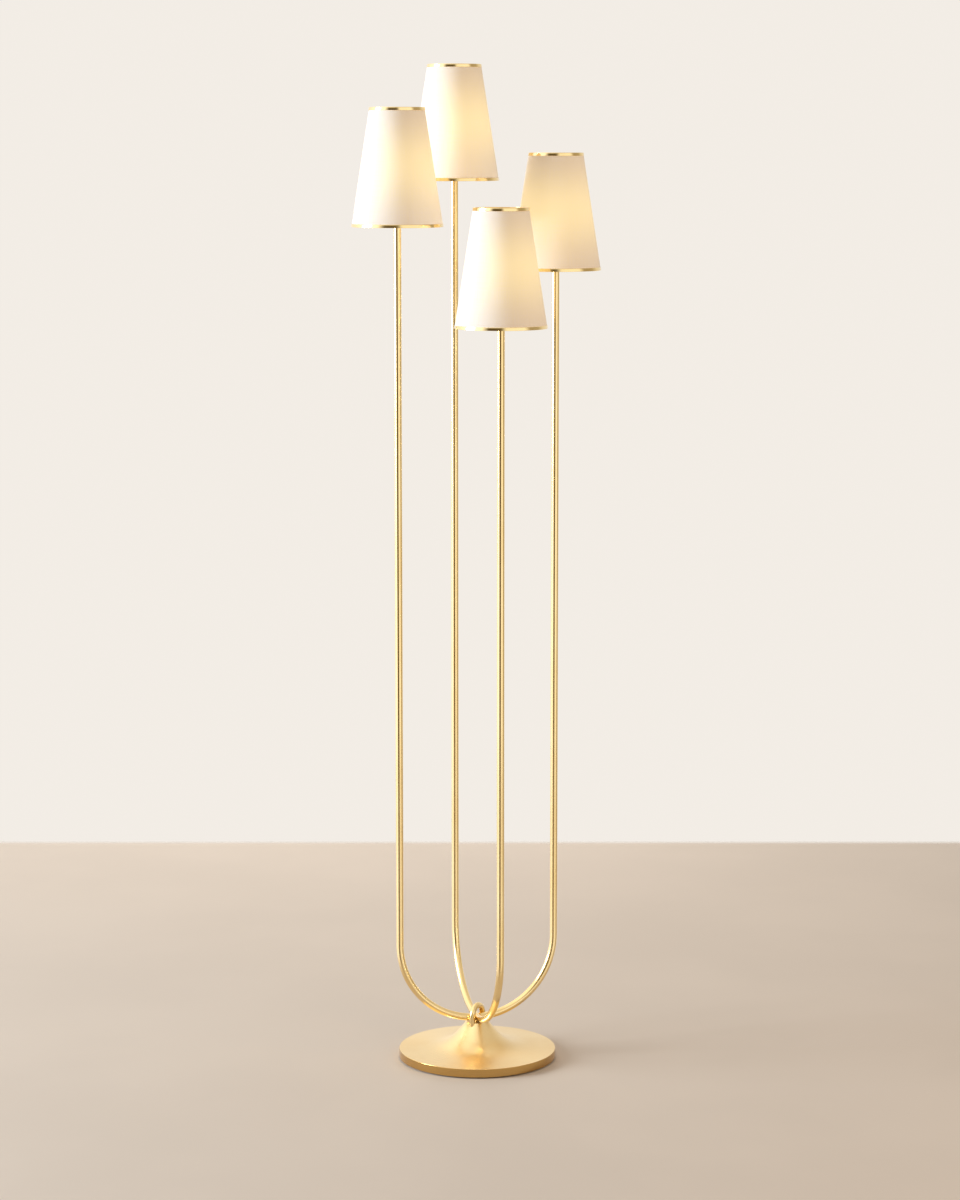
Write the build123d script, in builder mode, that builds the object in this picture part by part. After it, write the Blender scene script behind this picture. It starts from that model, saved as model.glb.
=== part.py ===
from build123d import *
from math import asin, atan2, cos, degrees, hypot, pi, radians, sin, sqrt
import os

# A tree floor lamp: four tall brass uprights rise from a round base. They bend inwards at the
# bottom, meet in a cross under a small arch, and each carries a tapered fabric shade.
# The origin is the middle of the base's underside, +Z is up and the front is towards -Y.

# ---- Driving dimensions, in mm --------------------------------------------------------------

# Uprights. The bend's radius is the distance from the lamp's middle to each upright.
arm_radius = 130.0
tube_diameter = 12.0
tube_wall = 1.0
arm_angle = {"right": 0.0, "rear": 90.0, "left": 180.0, "front": 270.0}
rim_height = {"right": 1463.0, "rear": 1603.0, "left": 1533.0, "front": 1380.0}

# Shades, measured over their polished trims.
shade_bottom_diameter = 145.0
shade_top_diameter = 88.0
shade_height = 185.0
fabric_thickness = 0.5
liner_thickness = 0.7
glue_gap = 0.1
trim_thickness = 0.8
trim_gap = 0.1
trim_band = 4.2
trim_round = 0.35
frame_wire_diameter = 3.0
weld_depth = 0.3
spoke_count = 3
spoke_start_angle = 90.0
washer_width = 6.95
washer_thickness = 1.5

# Lampholders, from the top of each upright upwards.
tube_reach = 6.0
cup_spigot = 15.0
cup_height = 8.0
cup_edge = 2.0
cup_diameter = 36.0
spigot_wall = 0.95
socket_base_height = 10.0
socket_base_diameter = 34.0
flange_thickness = 3.0
flange_width = 2.75
skirt_height = 27.0
skirt_wall = 5.4
chamber_depth = 1.0
screw_shell_bore = 27.2
screw_shell_wall = 0.7
screw_shell_height = 25.0
contact_diameter = 10.0
contact_thickness = 1.0
contact_button_diameter = 5.0
contact_height = 3.0
clamp_ring_width = 4.7
clamp_ring_height = 6.0
clamp_ring_flutes = 12
flute_radius = 1.5

# Bulbs.
bulb_length = 102.0
bulb_diameter = 35.0
bulb_widest = 50.0
bulb_waist = 9.0
bulb_shoulder = 30.0
bulb_tip = 6.0
bulb_neck_gap = 0.4
bulb_neck_depth = 12.0
bulb_wall = 0.8
cap_height = 24.0
cap_wall = 0.6
cap_button_diameter = 9.0
cap_button_height = 1.6
cap_taper_height = 6.0

# Base, from the floor upwards.
pad_thickness = 2.5
pad_inset = 9.5
plate_thickness = 1.5
base_diameter = 255.0
edge_height = 13.2
edge_round = 0.8
cover_wall = 1.5
neck_top = 60.0
neck_margin = 0.5
neck_slope = 53.0
neck_pull = 55.0
disc_slope = 3.0
disc_pull = 67.5
seam_height = 47.5
spigot_length = 6.0
weight_gap = 0.5
cavity_diameter = 68.0
cavity_height = 18.0
screw_circle = 190.0
screw_count = 4
screw_start_angle = 45.0
screw_diameter = 4.0
screw_head_diameter = 7.0
screw_head_taper = 45.0
screw_length = 9.5
screw_slot_width = 1.0
screw_slot_depth = 0.7

# Clamping rod, its nut and its washer.
rod_diameter = 9.9
rod_bore = 7.0
rod_seat = 9.0
nut_flats = 17.0
nut_height = 6.0
nut_washer_diameter = 20.0
nut_washer_thickness = 1.6
rod_stick_out = 2.4

# Cross hub.
hub_gap = 0.5
hub_reach = 8.0
hub_spigot = 20.0
hub_boss_diameter = 16.0
hub_boss_depth = 10.0
hub_spigot_wall = 1.45

# Arch over the crossing.
arch_rod_diameter = 9.5
arch_gap = 1.6
arch_rise = 1.8
arch_leg_depth = 8.0
arch_angle = 45.0

# Wiring.
wire_diameter = 1.8
wire_gap = 0.1
wire_bore_gap = 0.3
wire_turn_slack = 0.5
wire_end_gap = 1.5
block_length = 26.0
block_width = 18.0
block_corner = 2.0
block_screw_diameter = 3.0
block_screw_depth = 2.0
block_screw_spacing = 8.0

# Cord inlet in the base's rear edge.
inlet_wall = 1.5
inlet_flange_width = 1.3
inlet_flange = 1.5
inlet_depth = 8.5
channel_height = 8.0

# Clearances: a piece that slides or plugs in, one that turns, and flat seats of moving pieces.
fit = 0.05
running = 0.3
seat = 0.1

# ---- Derived places --------------------------------------------------------------------------

tube_radius = tube_diameter / 2
tube_bore = tube_radius - tube_wall
arm_level = neck_top + hub_gap + tube_radius
bend_top = arm_level + arm_radius
base_radius = base_diameter / 2
edge_top = pad_thickness + edge_height
plate_top = pad_thickness + plate_thickness
arch_rod = arch_rod_diameter / 2
arch_radius = (tube_radius + arch_rod + arch_gap) * sqrt(2)
neck_radius = arch_radius + neck_margin
cavity_top = plate_top + cavity_height
weight_top = seam_height - spigot_length
nut_bottom = cavity_top - nut_washer_thickness - nut_height
rod_bottom = nut_bottom - rod_stick_out
inlet_room = (edge_height - plate_thickness - cover_wall) / 2
inlet_height = plate_top + inlet_room
inlet_radius = inlet_room - running - seat
inlet_bore_radius = inlet_radius - inlet_wall
channel_width = 2 * (inlet_radius + running)
rod_top = neck_top - hub_boss_depth + rod_seat
wire_end = rod_bottom - wire_end_gap
wire_pitch = wire_diameter + wire_gap
wire_offset = rod_bore / 2 - wire_diameter / 2 - wire_bore_gap
trim_over = trim_thickness + trim_gap
wall_thickness = fabric_thickness + glue_gap + liner_thickness
spigot_radius = tube_bore - fit
wire_bore = spigot_radius - spigot_wall
hub_bore = spigot_radius - hub_spigot_wall
wire_turn = hub_bore + wire_turn_slack
shell_seat = screw_shell_bore / 2 + screw_shell_wall + fit
skirt_radius = shell_seat + skirt_wall
flange_radius = skirt_radius + flange_width
ring_bore = skirt_radius + fit
washer_bore = skirt_radius + running
cap_radius = screw_shell_bore / 2 - running
bulb_neck_radius = cap_radius - cap_wall - bulb_neck_gap

os.makedirs("parts", exist_ok=True)


def save(piece, label):
    """Name a finished piece and write it to its own file."""
    piece.part.label = label
    export_step(piece.part, f"parts/{label}.step")


def arm_centre(arm):
    """Where an upright stands, seen from above."""
    angle = radians(arm_angle[arm])
    return arm_radius * cos(angle), arm_radius * sin(angle)


def bend_axis(arm):
    """The axis of an upright's bend. A positive turn carries the upright down to the crossing."""
    angle = radians(arm_angle[arm])
    return Axis((0, 0, bend_top), (-sin(angle), cos(angle), 0))


def upright_axis(arm):
    """The axis that an upright's lampholder, bulb and shade share."""
    return Axis((*arm_centre(arm), 0), (0, 0, 1))


def section_plane(arm, height=0.0):
    """A vertical plane through an upright's axis, for half profiles. Its x is the radius."""
    return Plane(origin=(*arm_centre(arm), height), x_dir=(1, 0, 0), z_dir=(0, -1, 0))


# ---- Base ------------------------------------------------------------------------------------


def flare(inset):
    """Control points of the base's top curve from neck to edge, moved inwards by inset."""
    steep = Vector(-sin(radians(neck_slope)), -cos(radians(neck_slope)))
    level = Vector(-sin(radians(disc_slope)), -cos(radians(disc_slope)))
    corner = (steep + level) * (inset / (1 + steep.dot(level)))
    down_neck = Vector(cos(radians(neck_slope)), -sin(radians(neck_slope))) * neck_pull
    up_disc = Vector(-cos(radians(disc_slope)), sin(radians(disc_slope))) * disc_pull
    neck = Vector(neck_radius, neck_top)
    edge = Vector(base_radius, edge_top)
    edge_in = Vector(base_radius - inset, edge_top - inset)
    return [neck + steep * inset, neck + down_neck + corner, edge + up_disc + level * inset, edge_in]


def flared_solid(inset, bottom, top):
    """A solid under the base's top curve, moved in by inset, between two heights."""
    points = flare(inset)
    with BuildPart() as solid:
        with BuildSketch(Plane.XZ):
            with BuildLine():
                Bezier(*points)
                Polyline(points[-1], (points[-1].X, bottom), (0, bottom), (0, points[0].Y), points[0])
            make_face()
        revolve(axis=Axis.Z)
        if top < neck_top:
            split(bisect_by=Plane.XY.offset(top), keep=Keep.BOTTOM)
    return solid.part


# Spun brass cover: a flat disc that sweeps up to the seam under the neck.
with BuildPart() as base_cover:
    outer = flare(0)
    inner = flare(cover_wall)
    with BuildSketch(Plane.XZ) as cover_section:
        with BuildLine():
            Bezier(*outer)
            Polyline(outer[-1], (base_radius, pad_thickness), (inner[-1].X, pad_thickness), inner[-1])
            Bezier(*reversed(inner))
            Line(inner[0], outer[0])
        make_face()
        fillet(cover_section.vertices().sort_by(lambda v: v.X + v.Y)[-1], radius=edge_round)
    revolve(axis=Axis.Z)
    split(bisect_by=Plane.XY.offset(seam_height), keep=Keep.BOTTOM)
    with BuildSketch(Plane.XZ.offset(-base_radius)):
        with Locations((0, inlet_height)):
            Circle(inlet_radius + fit)
    extrude(amount=2 * cover_wall, both=True, mode=Mode.SUBTRACT)
save(base_cover, "base_cover")

seam_edge = base_cover.part.edges().group_by(Axis.Z)[-1].sort_by(SortBy.LENGTH)[0]
seam_bore = seam_edge.length / (2 * pi)

# Turned brass neck: closes the cover's top, and holds the hub's boss and the arch's two legs.
neck_form = flared_solid(0, pad_thickness, neck_top)
with BuildPart() as base_neck:
    add(neck_form)
    split(bisect_by=Plane.XY.offset(seam_height), keep=Keep.TOP)
    with BuildSketch(Plane.XY.offset(seam_height)):
        Circle(seam_bore - fit)
    extrude(amount=-spigot_length)
    with BuildSketch(Plane.XY.offset(weight_top)):
        Circle(rod_diameter / 2 + running)
    extrude(amount=neck_top - weight_top, mode=Mode.SUBTRACT)
    with BuildSketch(Plane.XY.offset(neck_top)):
        Circle(hub_boss_diameter / 2 + fit)
    extrude(amount=-hub_boss_depth, mode=Mode.SUBTRACT)
    with BuildSketch(Plane.XY.offset(neck_top)):
        with PolarLocations(arch_radius, 2, start_angle=arch_angle):
            Circle(arch_rod + fit)
    extrude(amount=-arch_leg_depth, mode=Mode.SUBTRACT)
save(base_neck, "base_neck")

# Cast-iron weight that fills the cover, with a wiring cavity, a cord channel and screw holes.
weight_form = flared_solid(cover_wall + weight_gap, plate_top, weight_top)
with BuildPart() as base_weight:
    add(weight_form)
    with BuildSketch(Plane.XY.offset(plate_top)):
        Circle(cavity_diameter / 2)
    extrude(amount=cavity_height, mode=Mode.SUBTRACT)
    with BuildSketch(Plane.XY.offset(cavity_top)):
        Circle(rod_diameter / 2 + running)
    extrude(amount=weight_top - cavity_top, mode=Mode.SUBTRACT)
    with BuildSketch(Plane.XY.offset(plate_top)):
        Rectangle(channel_width, base_radius, align=(Align.CENTER, Align.MIN))
    extrude(amount=channel_height, mode=Mode.SUBTRACT)
    with BuildSketch(Plane.XZ.offset(-base_radius)):
        with Locations((0, inlet_height)):
            Rectangle(channel_width, 2 * edge_height)
    extrude(amount=inlet_depth + running, mode=Mode.SUBTRACT)
    with BuildSketch(Plane.XY.offset(plate_top)):
        with PolarLocations(screw_circle / 2, screw_count, start_angle=screw_start_angle):
            Circle(screw_diameter / 2 + fit)
    extrude(amount=screw_length, mode=Mode.SUBTRACT)
save(base_weight, "base_weight")

# Steel plate that closes the base, level with the cover's lower edge.
with BuildPart() as bottom_plate:
    with BuildSketch(Plane.XY.offset(pad_thickness)):
        Circle(base_radius - cover_wall - running)
    extrude(amount=plate_thickness)
    with BuildSketch(Plane.XY.offset(pad_thickness)):
        with PolarLocations(screw_circle / 2, screw_count, start_angle=screw_start_angle):
            Circle(screw_head_diameter / 2 + fit)
    extrude(amount=plate_thickness, taper=screw_head_taper, mode=Mode.SUBTRACT)
save(bottom_plate, "bottom_plate")

# Felt pad that the lamp stands on, set in from the edge.
with BuildPart() as felt_pad:
    with BuildSketch():
        Circle(base_radius - pad_inset)
    extrude(amount=pad_thickness)
save(felt_pad, "felt_pad")

# Slotted countersunk screws that hold the plate to the weight.
with BuildPart() as plate_screws:
    with BuildSketch(Plane.XY.offset(pad_thickness)):
        with PolarLocations(screw_circle / 2, screw_count, start_angle=screw_start_angle):
            Circle(screw_head_diameter / 2)
    extrude(amount=plate_thickness, taper=screw_head_taper)
    with BuildSketch(Plane.XY.offset(pad_thickness)):
        with PolarLocations(screw_circle / 2, screw_count, start_angle=screw_start_angle):
            Circle(screw_diameter / 2)
    extrude(amount=screw_length)
    with BuildSketch(Plane.XY.offset(pad_thickness)):
        with PolarLocations(screw_circle / 2, screw_count, start_angle=screw_start_angle):
            Rectangle(screw_head_diameter, screw_slot_width)
    extrude(amount=screw_slot_depth, mode=Mode.SUBTRACT)
save(plate_screws, "plate_screws")

# Hollow threaded rod that draws the hub, the neck and the weight together.
with BuildPart() as threaded_rod:
    with BuildSketch(Plane.XY.offset(rod_bottom)):
        Circle(rod_diameter / 2)
        Circle(rod_bore / 2, mode=Mode.SUBTRACT)
    extrude(amount=rod_top - rod_bottom)
save(threaded_rod, "threaded_rod")

with BuildPart() as rod_washer:
    with BuildSketch(Plane.XY.offset(cavity_top)):
        Circle(nut_washer_diameter / 2)
        Circle(rod_diameter / 2 + running, mode=Mode.SUBTRACT)
    extrude(amount=-nut_washer_thickness)
save(rod_washer, "rod_washer")

with BuildPart() as rod_nut:
    with BuildSketch(Plane.XY.offset(nut_bottom)):
        RegularPolygon(nut_flats / 2, 6, major_radius=False)
        Circle(rod_diameter / 2 + fit, mode=Mode.SUBTRACT)
    extrude(amount=nut_height)
save(rod_nut, "rod_nut")

# Plastic bushing for the cord, in the base's rear edge.
with BuildPart() as cord_inlet:
    with BuildSketch(Plane.XZ.offset(-base_radius)):
        with Locations((0, inlet_height)):
            Circle(inlet_radius)
    extrude(amount=inlet_depth)
    with BuildSketch(Plane.XZ.offset(-base_radius)):
        with Locations((0, inlet_height)):
            Circle(inlet_radius + inlet_flange_width)
    extrude(amount=-inlet_flange)
    with BuildSketch(Plane.XZ.offset(-base_radius - inlet_flange)):
        with Locations((0, inlet_height)):
            Circle(inlet_bore_radius)
    extrude(amount=inlet_flange + inlet_depth, mode=Mode.SUBTRACT)
save(cord_inlet, "cord_inlet")

# Terminal block on the bottom plate, right under the rod, where the wires end.
with BuildPart() as terminal_block:
    with BuildSketch(Plane.XY.offset(plate_top)):
        RectangleRounded(block_length, block_width, block_corner)
    extrude(amount=wire_end - plate_top)
    with BuildSketch(Plane.XY.offset(wire_end)):
        with GridLocations(block_screw_spacing, block_width - block_screw_spacing / 2, 3, 2):
            Circle(block_screw_diameter / 2)
    extrude(amount=-block_screw_depth, mode=Mode.SUBTRACT)
save(terminal_block, "terminal_block")

# ---- Hub and arch ----------------------------------------------------------------------------

hub_stub_angle = degrees(asin(hub_reach / arm_radius))
hub_spigot_angle = degrees(asin(hub_spigot / arm_radius))


def turned_section(arm, angle, radius):
    """A round section of the bent tube, at an angle up from the crossing, ready to turn."""
    with BuildSketch(Plane.XY.offset(bend_top)) as section:
        with Locations(arm_centre(arm)):
            Circle(radius)
    return section.sketch.rotate(bend_axis(arm), 90 - angle)


# Cast brass cross. Its four stubs follow the tubes' bends, and its spigots plug into them.
with BuildPart() as cross_hub:
    for arm in ("right", "rear"):
        revolve(
            turned_section(arm, hub_stub_angle, tube_radius),
            axis=bend_axis(arm),
            revolution_arc=2 * hub_stub_angle,
        )
        revolve(
            turned_section(arm, hub_spigot_angle, spigot_radius),
            axis=bend_axis(arm),
            revolution_arc=2 * hub_spigot_angle,
        )
    with BuildSketch(Plane.XY.offset(arm_level)):
        Circle(tube_radius - seat)
    extrude(amount=neck_top - arm_level)
    with BuildSketch(Plane.XY.offset(neck_top)):
        Circle(hub_boss_diameter / 2)
    extrude(amount=-hub_boss_depth)
    for arm in ("right", "rear"):
        revolve(
            turned_section(arm, hub_spigot_angle, hub_bore),
            axis=bend_axis(arm),
            revolution_arc=2 * hub_spigot_angle,
            mode=Mode.SUBTRACT,
        )
    with BuildSketch(Plane.XY.offset(neck_top - hub_boss_depth)):
        Circle(rod_bore / 2)
    extrude(amount=arm_level - neck_top + hub_boss_depth, mode=Mode.SUBTRACT)
    with BuildSketch(Plane.XY.offset(neck_top - hub_boss_depth)):
        Circle(rod_diameter / 2 + fit)
    extrude(amount=rod_seat, mode=Mode.SUBTRACT)
save(cross_hub, "cross_hub")

# Brass rod bent into an arch, which straddles the crossing with its legs in the neck.
with BuildPart() as binding_arch:
    arch_foot = neck_top - arch_leg_depth
    arch_spring = arm_level + arch_rise
    across = Vector(-sin(radians(arch_angle)), cos(radians(arch_angle)), 0)
    with BuildSketch(Plane.XY.offset(arch_foot)):
        with PolarLocations(arch_radius, 2, start_angle=arch_angle):
            Circle(arch_rod)
    extrude(amount=arch_spring - arch_foot)
    with BuildSketch(Plane.XY.offset(arch_spring)) as arch_section:
        with PolarLocations(arch_radius, 1, start_angle=arch_angle):
            Circle(arch_rod)
    revolve(arch_section.sketch, axis=Axis((0, 0, arch_spring), -across), revolution_arc=180)
save(binding_arch, "binding_arch")

# ---- Uprights, lampholders, bulbs and shades -------------------------------------------------


def bulb_curves(inset, neck_height, widest_height, top):
    """The glass's two outline curves, neck to widest and widest to tip, moved inwards by inset."""
    neck = bulb_neck_radius - inset
    widest = bulb_diameter / 2 - inset
    lower = [
        (neck, neck_height),
        (neck, neck_height + bulb_waist),
        (widest, widest_height - bulb_waist),
        (widest, widest_height),
    ]
    upper = [
        (widest, widest_height),
        (widest, widest_height + bulb_shoulder),
        (bulb_tip, top - inset),
        (0, top - inset),
    ]
    return lower, upper


wire_turn_angle = degrees(asin((wire_offset + wire_turn) / (arm_radius + wire_turn)))
contact_places = []

for arm in arm_angle:
    centre = arm_centre(arm)
    axis = upright_axis(arm)
    shade_bottom = rim_height[arm] - shade_height
    tube_top = shade_bottom + tube_reach
    cup_top = tube_top + cup_height
    flange_bottom = cup_top + socket_base_height
    shoulder = flange_bottom + flange_thickness
    skirt_top = shoulder + skirt_height
    chamber_floor = shoulder - chamber_depth
    washer_bottom = shoulder + seat
    ring_bottom = washer_bottom + washer_thickness + seat
    bulb_foot = chamber_floor + contact_height + running
    cap_top = bulb_foot + cap_height
    bulb_top = bulb_foot + bulb_length
    contact_places.append((centre, chamber_floor))

    # Upright: brass tube, straight from the lampholder down, then a quarter bend to the hub.
    with BuildPart() as arm_tube:
        with BuildSketch(Plane.XY.offset(bend_top)) as tube_section:
            with Locations(centre):
                Circle(tube_radius)
                Circle(tube_bore, mode=Mode.SUBTRACT)
        extrude(amount=tube_top - bend_top)
        revolve(tube_section.sketch, axis=bend_axis(arm), revolution_arc=90 - hub_stub_angle)
    save(arm_tube, f"{arm}_arm_tube")

    # Turned brass cup that plugs into the tube's top and carries the lampholder.
    with BuildPart() as socket_cup:
        with BuildSketch(section_plane(arm)):
            with BuildLine():
                Polyline(
                    (tube_radius, tube_top),
                    (spigot_radius, tube_top),
                    (spigot_radius, tube_top - cup_spigot),
                    (wire_bore, tube_top - cup_spigot),
                    (wire_bore, cup_top),
                    (cup_diameter / 2, cup_top),
                    (cup_diameter / 2, cup_top - cup_edge),
                )
                Bezier(
                    (cup_diameter / 2, cup_top - cup_edge),
                    (cup_diameter / 2, tube_top),
                    (tube_radius, cup_top - cup_edge),
                    (tube_radius, tube_top),
                )
            make_face()
        revolve(axis=axis)
    save(socket_cup, f"{arm}_socket_cup")

    # Moulded lampholder body with a shoulder for the shade and a skirt for the clamping ring.
    with BuildPart() as socket_body:
        with BuildSketch(section_plane(arm)):
            with BuildLine():
                Polyline(
                    (wire_bore, cup_top),
                    (socket_base_diameter / 2, cup_top),
                    (socket_base_diameter / 2, flange_bottom),
                    (flange_radius, flange_bottom),
                    (flange_radius, shoulder),
                    (skirt_radius, shoulder),
                    (skirt_radius, skirt_top),
                    (shell_seat, skirt_top),
                    (shell_seat, chamber_floor),
                    (wire_bore, chamber_floor),
                    close=True,
                )
            make_face()
        revolve(axis=axis)
    save(socket_body, f"{arm}_socket_body")

    # Brass screw shell that grips the bulb's cap.
    with BuildPart() as screw_shell:
        with BuildSketch(Plane.XY.offset(chamber_floor)):
            with Locations(centre):
                Circle(screw_shell_bore / 2 + screw_shell_wall)
                Circle(screw_shell_bore / 2, mode=Mode.SUBTRACT)
        extrude(amount=screw_shell_height)
    save(screw_shell, f"{arm}_screw_shell")

    # Fluted ring that screws down on the shade's washer.
    with BuildPart() as clamp_ring:
        with BuildSketch(Plane.XY.offset(ring_bottom)):
            with Locations(centre):
                Circle(ring_bore + clamp_ring_width)
                Circle(ring_bore, mode=Mode.SUBTRACT)
                with PolarLocations(ring_bore + clamp_ring_width + flute_radius / 2, clamp_ring_flutes):
                    Circle(flute_radius, mode=Mode.SUBTRACT)
        extrude(amount=clamp_ring_height)
    save(clamp_ring, f"{arm}_clamp_ring")

    # Bulb: candle-shaped glass in a metal screw cap.
    with BuildPart() as bulb_glass:
        neck_bottom = cap_top - bulb_neck_depth
        widest_height = bulb_foot + bulb_widest
        outside = bulb_curves(0, cap_top, widest_height, bulb_top)
        inside = bulb_curves(bulb_wall, cap_top, widest_height, bulb_top)
        with BuildSketch(section_plane(arm)):
            with BuildLine():
                Line((outside[0][0][0], neck_bottom), outside[0][0])
                for curve in outside:
                    Bezier(*curve)
                Line(outside[1][-1], inside[1][-1])
                for curve in inside:
                    Bezier(*curve)
                Polyline(inside[0][0], (inside[0][0][0], neck_bottom), (outside[0][0][0], neck_bottom))
            make_face()
        revolve(axis=axis)
    save(bulb_glass, f"{arm}_bulb_glass")

    with BuildPart() as bulb_cap:
        cap_floor = bulb_foot + cap_button_height + cap_taper_height
        with BuildSketch(section_plane(arm)):
            with BuildLine():
                Polyline(
                    (0, bulb_foot),
                    (cap_button_diameter / 2, bulb_foot),
                    (cap_button_diameter / 2, bulb_foot + cap_button_height),
                    (cap_radius, cap_floor),
                    (cap_radius, cap_top),
                    (cap_radius - cap_wall, cap_top),
                    (cap_radius - cap_wall, cap_floor),
                    (0, cap_floor),
                    close=True,
                )
            make_face()
        revolve(axis=axis)
    save(bulb_cap, f"{arm}_bulb_cap")

    # The shade's wall leans in. Its profiles are drawn along it, from its lower outer edge.
    foot_radius = shade_bottom_diameter / 2 - trim_over
    head_radius = shade_top_diameter / 2 - trim_over
    rise = shade_height - 2 * trim_over
    lean = atan2(foot_radius - head_radius, rise)
    slant = hypot(foot_radius - head_radius, rise)
    wall_foot = Vector(centre[0] + foot_radius, centre[1], shade_bottom + trim_over)
    wall_plane = Plane(origin=wall_foot, x_dir=(cos(lean), 0, sin(lean)), z_dir=(0, -1, 0))
    lower_corner = (Align.MAX, Align.MIN)
    upper_corner = (Align.MAX, Align.MAX)

    with BuildPart() as shade_fabric:
        with BuildSketch(wall_plane):
            Rectangle(fabric_thickness, slant, align=lower_corner)
        revolve(axis=axis)
    save(shade_fabric, f"{arm}_shade_fabric")

    with BuildPart() as shade_liner:
        with BuildSketch(wall_plane):
            with Locations((-fabric_thickness - glue_gap, 0)):
                Rectangle(liner_thickness, slant, align=lower_corner)
        revolve(axis=axis)
    save(shade_liner, f"{arm}_shade_liner")

    # Polished channel folded over the wall's upper edge.
    with BuildPart() as top_trim:
        with BuildSketch(wall_plane) as trim_section:
            with Locations((trim_over, slant + trim_over)):
                Rectangle(wall_thickness + 2 * trim_over, trim_over + trim_band, align=upper_corner)
            fillet(trim_section.vertices().group_by(Axis.Y)[-1], radius=trim_round)
            with Locations((trim_gap, slant + trim_gap)):
                Rectangle(
                    wall_thickness + 2 * trim_gap,
                    trim_over + trim_band,
                    align=upper_corner,
                    mode=Mode.SUBTRACT,
                )
        revolve(axis=axis)
    save(top_trim, f"{arm}_shade_top_trim")

    # Shade frame: the lower channel with a wire ring inside it, and spokes up to a flat washer.
    wire_radius = frame_wire_diameter / 2
    wire_x = -wall_thickness - trim_over - wire_radius + weld_depth
    wire_y = trim_band / 2
    ring_place = wall_plane.from_local_coords((wire_x, wire_y, 0))
    spoke_foot = Vector(ring_place.X - centre[0], 0, ring_place.Z)
    spoke_level = washer_bottom + washer_thickness / 2
    spoke_head = Vector(washer_bore + washer_width - wire_radius, 0, spoke_level)
    spoke = spoke_foot - spoke_head
    with BuildPart() as shade_frame:
        with BuildSketch(wall_plane) as channel_section:
            with Locations((trim_over, -trim_over)):
                Rectangle(wall_thickness + 2 * trim_over, trim_over + trim_band, align=lower_corner)
            fillet(channel_section.vertices().group_by(Axis.Y)[0], radius=trim_round)
            with Locations((trim_gap, -trim_gap)):
                Rectangle(
                    wall_thickness + 2 * trim_gap,
                    trim_over + trim_band,
                    align=lower_corner,
                    mode=Mode.SUBTRACT,
                )
        revolve(axis=axis)
        with BuildSketch(wall_plane):
            with Locations((wire_x, wire_y)):
                Circle(wire_radius)
        revolve(axis=axis)
        for step in range(spoke_count):
            turn = spoke_start_angle + step * 360 / spoke_count
            start = Vector(*centre, 0) + spoke_head.rotate(Axis.Z, turn)
            with BuildSketch(Plane(origin=start, z_dir=spoke.rotate(Axis.Z, turn))):
                Circle(wire_radius)
            extrude(amount=spoke.length)
        with BuildSketch(Plane.XY.offset(washer_bottom)):
            with Locations(centre):
                Circle(washer_bore + washer_width)
        extrude(amount=washer_thickness)
        with BuildSketch(Plane.XY.offset(washer_bottom - washer_thickness)):
            with Locations(centre):
                Circle(washer_bore)
        extrude(amount=3 * washer_thickness, mode=Mode.SUBTRACT)
    save(shade_frame, f"{arm}_shade_frame")

# Sprung brass contacts, one in the middle of each lampholder's floor.
with BuildPart() as centre_contacts:
    for centre, floor in contact_places:
        with BuildSketch(Plane.XY.offset(floor)):
            with Locations(centre):
                Circle(contact_diameter / 2)
        extrude(amount=contact_thickness)
        with BuildSketch(Plane.XY.offset(floor)):
            with Locations(centre):
                Circle(contact_button_diameter / 2)
        extrude(amount=contact_height)
save(centre_contacts, "centre_contacts")

# Two insulated wires in each upright, which run down through the hub and the rod to the block.
with BuildPart() as arm_wires:
    for arm, (centre, floor) in zip(arm_angle, contact_places):
        angle = radians(arm_angle[arm])
        for side in (-1, 1):
            outwards = Vector(cos(angle), sin(angle), 0)
            sideways = Vector(sin(angle), -cos(angle), 0)
            route_plane = Plane(sideways * (-side * wire_pitch / 2), x_dir=outwards, z_dir=sideways)
            with BuildLine(route_plane) as route:
                Line((arm_radius, floor), (arm_radius, bend_top))
                bend = CenterArc((0, bend_top), arm_radius, 0, wire_turn_angle - 90)
                turn = JernArc(bend @ 1, bend % 1, wire_turn, 90 - wire_turn_angle)
                Line(turn @ 1, (wire_offset, wire_end))
            with BuildSketch(Plane(route.line ^ 0)):
                Circle(wire_diameter / 2)
            sweep(path=route.line)
save(arm_wires, "arm_wires")
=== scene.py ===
import math

import bmesh
import bpy
import numpy as np
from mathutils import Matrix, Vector


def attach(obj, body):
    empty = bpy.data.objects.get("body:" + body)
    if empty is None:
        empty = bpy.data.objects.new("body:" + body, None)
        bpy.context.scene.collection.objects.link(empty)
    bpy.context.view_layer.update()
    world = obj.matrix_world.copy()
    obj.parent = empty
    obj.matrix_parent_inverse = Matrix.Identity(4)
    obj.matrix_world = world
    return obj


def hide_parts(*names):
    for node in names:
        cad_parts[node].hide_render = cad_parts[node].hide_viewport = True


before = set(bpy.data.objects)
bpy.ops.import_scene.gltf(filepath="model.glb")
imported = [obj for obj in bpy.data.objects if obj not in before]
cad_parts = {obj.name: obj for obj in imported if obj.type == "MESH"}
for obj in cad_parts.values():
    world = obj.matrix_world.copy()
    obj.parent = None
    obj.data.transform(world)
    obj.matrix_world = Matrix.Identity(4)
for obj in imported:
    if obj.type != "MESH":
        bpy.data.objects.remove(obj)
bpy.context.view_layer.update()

# ---- Camera ----------------------------------------------------------------------------------
# The viewpoint of the photograph: a long lens at eye height that looks slightly down and turns
# the cross of uprights by sixteen degrees.

IMAGE_HEIGHT_PX = 1200
FOCAL_PX = 3120.55
SENSOR_MM = 36.0
VIEW_TURN = math.radians(-16.439)
VIEW_PITCH = math.radians(8.251)
VIEW_DISTANCE = 4.94501
VIEW_SIDE = 0.00447
VIEW_HEIGHT = 1.47093

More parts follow.
